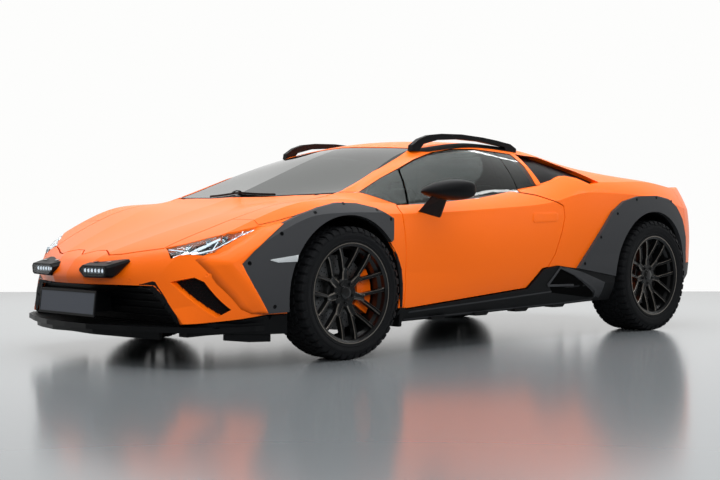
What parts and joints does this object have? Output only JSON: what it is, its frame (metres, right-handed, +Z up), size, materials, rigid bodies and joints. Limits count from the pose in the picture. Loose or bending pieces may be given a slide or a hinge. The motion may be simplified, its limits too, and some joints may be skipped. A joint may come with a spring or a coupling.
{
  "type": "raised two-seat supercar",
  "caption": "Low two-seat mid-engined car with raised suspension, black arch flares, sill skirts, roof rails and auxiliary nose lamps.",
  "frame": {"origin": "on the ground, midway along and across the car", "axes": "+X forward, +Y to the car's left, +Z up"},
  "size_m": [4.525, 2.174, 1.214],
  "materials": {
    "orange_paint": "gloss paint",
    "moulded_plastic": "fine grain",
    "gloss_black": "gloss",
    "tinted_glass": "tinted",
    "lamp_glass": "clear",
    "red_lamp": "gloss",
    "exhaust_steel": "satin",
    "cast_aluminium": "as cast",
    "seat_leather": "matte",
    "cabin_plastic": "fine grain",
    "arm_steel": "coated",
    "tyre_rubber": "matte",
    "black_alloy": "satin black",
    "disc_steel": "turned",
    "caliper_paint": "gloss paint"
  },
  "bodies": {
    "chassis": {"front_bumper": "orange_paint", "roof_frame": "orange_paint", "tail_shell": "orange_paint", "fender_left": "orange_paint", "fender_right": "orange_paint", "quarter_left": "orange_paint", "quarter_right": "orange_paint", "arch_flares": "moulded_plastic", "side_skirts": "moulded_plastic", "front_chin": "moulded_plastic", "diffuser": "moulded_plastic", "floor_pan": "moulded_plastic", "bulkheads": "moulded_plastic", "cross_ribs": "moulded_plastic", "long_members": "moulded_plastic", "sills": "moulded_plastic", "wheel_housings": "moulded_plastic", "luggage_box": "moulded_plastic", "scuttle": "moulded_plastic", "front_grille": "moulded_plastic", "roof_rails": "gloss_black", "tail_panel": "gloss_black", "intake_panels": "gloss_black", "windscreen": "tinted_glass", "fixed_glass": "tinted_glass", "headlamps": "lamp_glass", "aux_lamps": "lamp_glass", "tail_lamps": "red_lamp", "exhausts": "exhaust_steel", "engine_block": "cast_aluminium", "seats": "seat_leather", "dashboard": "cabin_plastic", "front_suspension": "arm_steel", "rear_suspension": "arm_steel", "rear_calipers": "caliper_paint"},
    "left_door": {"door_left": "orange_paint", "door_glass_left": "tinted_glass", "mirror_left": "gloss_black"},
    "right_door": {"door_right": "orange_paint", "door_glass_right": "tinted_glass", "mirror_right": "gloss_black"},
    "lid": {"front_lid": "orange_paint"},
    "rear_cover": {"engine_cover": "gloss_black"},
    "left_upright": {"knuckle_left": "cast_aluminium", "caliper_front_left": "caliper_paint"},
    "right_upright": {"knuckle_right": "cast_aluminium", "caliper_front_right": "caliper_paint"},
    "hand_wheel": {"steering_wheel": "cabin_plastic"},
    "front_left_wheel": {"tyre_front_left": "tyre_rubber", "rim_front_left": "black_alloy", "disc_front_left": "disc_steel"},
    "front_right_wheel": {"tyre_front_right": "tyre_rubber", "rim_front_right": "black_alloy", "disc_front_right": "disc_steel"},
    "rear_left_wheel": {"tyre_rear_left": "tyre_rubber", "rim_rear_left": "black_alloy", "disc_rear_left": "disc_steel"},
    "rear_right_wheel": {"tyre_rear_right": "tyre_rubber", "rim_rear_right": "black_alloy", "disc_rear_right": "disc_steel"}
  },
  "joints": [
    {"name": "left_door_hinge", "type": "hinge", "parent": "chassis", "child": "left_door", "pos_m": [0.728, 0.872, 0.46], "axis": [0, 0, -1], "range_deg": [0, 65]},
    {"name": "right_door_hinge", "type": "hinge", "parent": "chassis", "child": "right_door", "pos_m": [0.728, -0.872, 0.46], "axis": [0, 0, 1], "range_deg": [0, 65]},
    {"name": "lid_hinge", "type": "hinge", "parent": "chassis", "child": "lid", "pos_m": [1.13, 0, 0.829], "axis": [0, -1, 0], "range_deg": [0, 60]},
    {"name": "cover_hinge", "type": "hinge", "parent": "chassis", "child": "rear_cover", "pos_m": [-0.735, 0, 1.127], "axis": [0, 1, 0], "range_deg": [0, 60]},
    {"name": "left_steer", "type": "hinge", "parent": "chassis", "child": "left_upright", "pos_m": [1.1945, 0.785, 0.335], "axis": [0, 0, 1], "range_deg": [-32, 32]},
    {"name": "right_steer", "type": "hinge", "parent": "chassis", "child": "right_upright", "pos_m": [1.1945, -0.785, 0.335], "axis": [0, 0, 1], "range_deg": [-32, 32]},
    {"name": "hand_wheel_turn", "type": "hinge", "parent": "chassis", "child": "hand_wheel", "pos_m": [0.41, 0.37, 0.715], "axis": [-0.9272, 0, 0.3746], "range_deg": [-420, 420]},
    {"name": "front_left_spin", "type": "hinge", "parent": "left_upright", "child": "front_left_wheel", "pos_m": [1.1945, 0.849, 0.335], "axis": [0, 1, 0], "continuous": true},
    {"name": "front_right_spin", "type": "hinge", "parent": "right_upright", "child": "front_right_wheel", "pos_m": [1.1945, -0.849, 0.335], "axis": [0, 1, 0], "continuous": true},
    {"name": "rear_left_spin", "type": "hinge", "parent": "chassis", "child": "rear_left_wheel", "pos_m": [-1.4345, 0.827, 0.355], "axis": [0, 1, 0], "continuous": true},
    {"name": "rear_right_spin", "type": "hinge", "parent": "chassis", "child": "rear_right_wheel", "pos_m": [-1.4345, -0.827, 0.355], "axis": [0, 1, 0], "continuous": true}
  ],
  "couplings": [
    {"joint": "right_steer", "follows": "left_steer", "ratio": 1},
    {"joint": "hand_wheel_turn", "follows": "left_steer", "ratio": 13}
  ]
}
